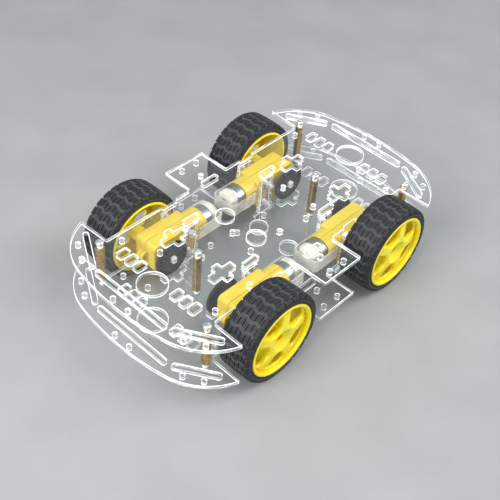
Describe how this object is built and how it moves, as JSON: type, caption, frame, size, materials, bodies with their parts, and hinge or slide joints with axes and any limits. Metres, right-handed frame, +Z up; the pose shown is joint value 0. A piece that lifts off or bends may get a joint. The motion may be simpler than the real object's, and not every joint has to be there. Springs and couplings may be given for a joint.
{
  "type": "four wheel robot chassis",
  "caption": "Low robot car chassis: two clear plates on brass spacers with a geared motor, encoder disc and rubber-tyred wheel at each corner.",
  "frame": {"origin": "on the floor under the middle of the chassis", "axes": "+X towards the front bumper, +Y towards the left wheels, +Z up"},
  "size_m": [0.256, 0.1552, 0.066],
  "materials": {
    "acrylic": "clear cast acrylic with polished laser-cut edges",
    "brass": "bare turned brass",
    "rim_yellow": "moulded yellow plastic",
    "housing_yellow": "moulded yellow plastic, satin",
    "tyre": "moulded rubber with block tread",
    "black_plastic": "black moulded plastic",
    "nylon": "white nylon",
    "steel": "plated steel",
    "milky_plastic": "translucent moulded plastic"
  },
  "bodies": {
    "chassis": {"lower_plate": "acrylic", "upper_plate": "acrylic", "standoff_front_left": "brass", "standoff_front_right": "brass", "standoff_rear_left": "brass", "standoff_rear_right": "brass", "standoff_middle_front": "brass", "standoff_middle_rear": "brass", "gearbox_case_front_left": "housing_yellow", "gearbox_cover_front_left": "housing_yellow", "motor_can_front_left": "steel", "motor_end_cap_front_left": "milky_plastic", "motor_bracket_inner_front_left": "acrylic", "motor_bracket_outer_front_left": "acrylic", "gearbox_case_front_right": "housing_yellow", "gearbox_cover_front_right": "housing_yellow", "motor_can_front_right": "steel", "motor_end_cap_front_right": "milky_plastic", "motor_bracket_inner_front_right": "acrylic", "motor_bracket_outer_front_right": "acrylic", "gearbox_case_rear_left": "housing_yellow", "gearbox_cover_rear_left": "housing_yellow", "motor_can_rear_left": "steel", "motor_end_cap_rear_left": "milky_plastic", "motor_bracket_inner_rear_left": "acrylic", "motor_bracket_outer_rear_left": "acrylic", "gearbox_case_rear_right": "housing_yellow", "gearbox_cover_rear_right": "housing_yellow", "motor_can_rear_right": "steel", "motor_end_cap_rear_right": "milky_plastic", "motor_bracket_inner_rear_right": "acrylic", "motor_bracket_outer_rear_right": "acrylic"},
    "wheel_front_left": {"wheel_rim_front_left": "rim_yellow", "tyre_front_left": "tyre", "encoder_disc_front_left": "black_plastic", "output_shaft_front_left": "nylon"},
    "idler_front_left": {"idler_gear_front_left": "nylon"},
    "crown_front_left": {"crown_gear_front_left": "nylon"},
    "rotor_front_left": {"motor_rotor_front_left": "steel"},
    "wheel_front_right": {"wheel_rim_front_right": "rim_yellow", "tyre_front_right": "tyre", "encoder_disc_front_right": "black_plastic", "output_shaft_front_right": "nylon"},
    "idler_front_right": {"idler_gear_front_right": "nylon"},
    "crown_front_right": {"crown_gear_front_right": "nylon"},
    "rotor_front_right": {"motor_rotor_front_right": "steel"},
    "wheel_rear_left": {"wheel_rim_rear_left": "rim_yellow", "tyre_rear_left": "tyre", "encoder_disc_rear_left": "black_plastic", "output_shaft_rear_left": "nylon"},
    "idler_rear_left": {"idler_gear_rear_left": "nylon"},
    "crown_rear_left": {"crown_gear_rear_left": "nylon"},
    "rotor_rear_left": {"motor_rotor_rear_left": "steel"},
    "wheel_rear_right": {"wheel_rim_rear_right": "rim_yellow", "tyre_rear_right": "tyre", "encoder_disc_rear_right": "black_plastic", "output_shaft_rear_right": "nylon"},
    "idler_rear_right": {"idler_gear_rear_right": "nylon"},
    "crown_rear_right": {"crown_gear_rear_right": "nylon"},
    "rotor_rear_right": {"motor_rotor_rear_right": "steel"}
  },
  "joints": [
    {"name": "front_left_wheel_spin", "type": "hinge", "parent": "chassis", "child": "wheel_front_left", "pos_m": [0.0588, 0.03865, 0.033], "axis": [0, 1, 0], "continuous": true},
    {"name": "front_left_idler_spin", "type": "hinge", "parent": "chassis", "child": "idler_front_left", "pos_m": [0.0488, 0.03865, 0.033], "axis": [0, 1, 0], "continuous": true},
    {"name": "front_left_crown_spin", "type": "hinge", "parent": "chassis", "child": "crown_front_left", "pos_m": [0.0413, 0.03865, 0.033], "axis": [0, 1, 0], "continuous": true},
    {"name": "front_left_rotor_spin", "type": "hinge", "parent": "chassis", "child": "rotor_front_left", "pos_m": [0.0188, 0.03865, 0.033], "axis": [1, 0, 0], "continuous": true},
    {"name": "front_right_wheel_spin", "type": "hinge", "parent": "chassis", "child": "wheel_front_right", "pos_m": [0.0588, -0.03865, 0.033], "axis": [0, 1, 0], "continuous": true},
    {"name": "front_right_idler_spin", "type": "hinge", "parent": "chassis", "child": "idler_front_right", "pos_m": [0.0488, -0.03865, 0.033], "axis": [0, 1, 0], "continuous": true},
    {"name": "front_right_crown_spin", "type": "hinge", "parent": "chassis", "child": "crown_front_right", "pos_m": [0.0413, -0.03865, 0.033], "axis": [0, 1, 0], "continuous": true},
    {"name": "front_right_rotor_spin", "type": "hinge", "parent": "chassis", "child": "rotor_front_right", "pos_m": [0.0188, -0.03865, 0.033], "axis": [1, 0, 0], "continuous": true},
    {"name": "rear_left_wheel_spin", "type": "hinge", "parent": "chassis", "child": "wheel_rear_left", "pos_m": [-0.0588, 0.03865, 0.033], "axis": [0, 1, 0], "continuous": true},
    {"name": "rear_left_idler_spin", "type": "hinge", "parent": "chassis", "child": "idler_rear_left", "pos_m": [-0.0488, 0.03865, 0.033], "axis": [0, 1, 0], "continuous": true},
    {"name": "rear_left_crown_spin", "type": "hinge", "parent": "chassis", "child": "crown_rear_left", "pos_m": [-0.0413, 0.03865, 0.033], "axis": [0, 1, 0], "continuous": true},
    {"name": "rear_left_rotor_spin", "type": "hinge", "parent": "chassis", "child": "rotor_rear_left", "pos_m": [-0.0188, 0.03865, 0.033], "axis": [1, 0, 0], "continuous": true},
    {"name": "rear_right_wheel_spin", "type": "hinge", "parent": "chassis", "child": "wheel_rear_right", "pos_m": [-0.0588, -0.03865, 0.033], "axis": [0, 1, 0], "continuous": true},
    {"name": "rear_right_idler_spin", "type": "hinge", "parent": "chassis", "child": "idler_rear_right", "pos_m": [-0.0488, -0.03865, 0.033], "axis": [0, 1, 0], "continuous": true},
    {"name": "rear_right_crown_spin", "type": "hinge", "parent": "chassis", "child": "crown_rear_right", "pos_m": [-0.0413, -0.03865, 0.033], "axis": [0, 1, 0], "continuous": true},
    {"name": "rear_right_rotor_spin", "type": "hinge", "parent": "chassis", "child": "rotor_rear_right", "pos_m": [-0.0188, -0.03865, 0.033], "axis": [1, 0, 0], "continuous": true}
  ],
  "couplings": [
    {"joint": "front_left_idler_spin", "follows": "front_left_wheel_spin", "ratio": -4},
    {"joint": "front_left_crown_spin", "follows": "front_left_wheel_spin", "ratio": 16},
    {"joint": "front_left_rotor_spin", "follows": "front_left_wheel_spin", "ratio": -48},
    {"joint": "front_right_idler_spin", "follows": "front_right_wheel_spin", "ratio": -4},
    {"joint": "front_right_crown_spin", "follows": "front_right_wheel_spin", "ratio": 16},
    {"joint": "front_right_rotor_spin", "follows": "front_right_wheel_spin", "ratio": 48},
    {"joint": "rear_left_idler_spin", "follows": "rear_left_wheel_spin", "ratio": -4},
    {"joint": "rear_left_crown_spin", "follows": "rear_left_wheel_spin", "ratio": 16},
    {"joint": "rear_left_rotor_spin", "follows": "rear_left_wheel_spin", "ratio": 48},
    {"joint": "rear_right_idler_spin", "follows": "rear_right_wheel_spin", "ratio": -4},
    {"joint": "rear_right_crown_spin", "follows": "rear_right_wheel_spin", "ratio": 16},
    {"joint": "rear_right_rotor_spin", "follows": "rear_right_wheel_spin", "ratio": -48}
  ]
}
